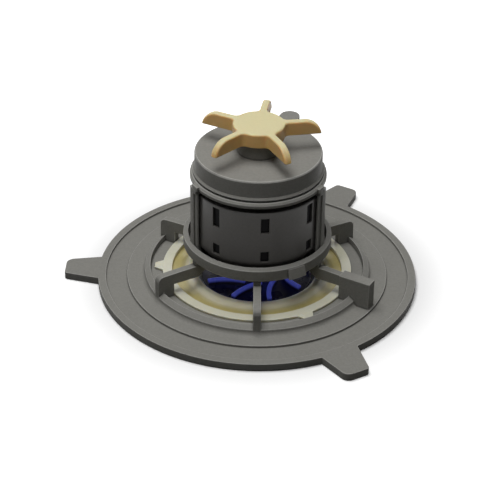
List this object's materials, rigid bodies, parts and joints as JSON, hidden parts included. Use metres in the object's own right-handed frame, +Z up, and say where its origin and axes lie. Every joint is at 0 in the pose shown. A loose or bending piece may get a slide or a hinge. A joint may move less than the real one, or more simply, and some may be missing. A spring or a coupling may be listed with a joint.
{
  "type": "dishwasher pump rotor in its bayonet flange",
  "caption": "Dishwasher pump rotor in a moulded bayonet flange: windowed magnet drum in a legged cage, blue vaned pump wheel below, pale bladed wheel on top.",
  "frame": {"origin": "centre of the flange's underside, on the shaft's axis", "axes": "+Z up along the shaft from the flange to the star wheel; +X towards the gap between two legs; one bayonet tab points along -X"},
  "size_m": [0.1326, 0.1292, 0.066],
  "materials": {
    "grey_moulding": "moulded, satin",
    "ivory_moulding": "moulded, satin",
    "drum_moulding": "moulded, satin",
    "magnet_ferrite": "ground ferrite",
    "blue_moulding": "moulded, gloss",
    "yellow_moulding": "moulded, natural, satin",
    "bush_carbon": "fine ground",
    "sleeve_rubber": "matte",
    "shaft_steel": "ground",
    "core_steel": "rolled"
  },
  "bodies": {
    "frame": {"flange_frame": "grey_moulding", "bearing_cap": "grey_moulding", "wear_ring": "ivory_moulding", "lower_bearing_bush": "bush_carbon", "lower_bush_sleeve": "sleeve_rubber", "upper_bearing_bush": "bush_carbon", "upper_bush_sleeve": "sleeve_rubber"},
    "rotor": {"rotor_shaft": "shaft_steel", "drum_shell": "drum_moulding", "drum_upper_disc": "drum_moulding", "drum_lower_disc": "drum_moulding", "magnet_1": "magnet_ferrite", "magnet_2": "magnet_ferrite", "magnet_3": "magnet_ferrite", "magnet_4": "magnet_ferrite", "magnet_5": "magnet_ferrite", "magnet_6": "magnet_ferrite", "magnet_7": "magnet_ferrite", "magnet_8": "magnet_ferrite", "back_iron": "core_steel", "rotor_hub": "drum_moulding", "upper_thrust_washer": "shaft_steel", "lower_thrust_washer": "shaft_steel", "pump_wheel": "blue_moulding", "pump_wheel_clip": "shaft_steel", "star_wheel": "yellow_moulding"}
  },
  "joints": [
    {"name": "rotor_spin", "type": "hinge", "parent": "frame", "child": "rotor", "pos_m": [0, 0, 0.03], "axis": [0, 0, 1], "continuous": true}
  ]
}
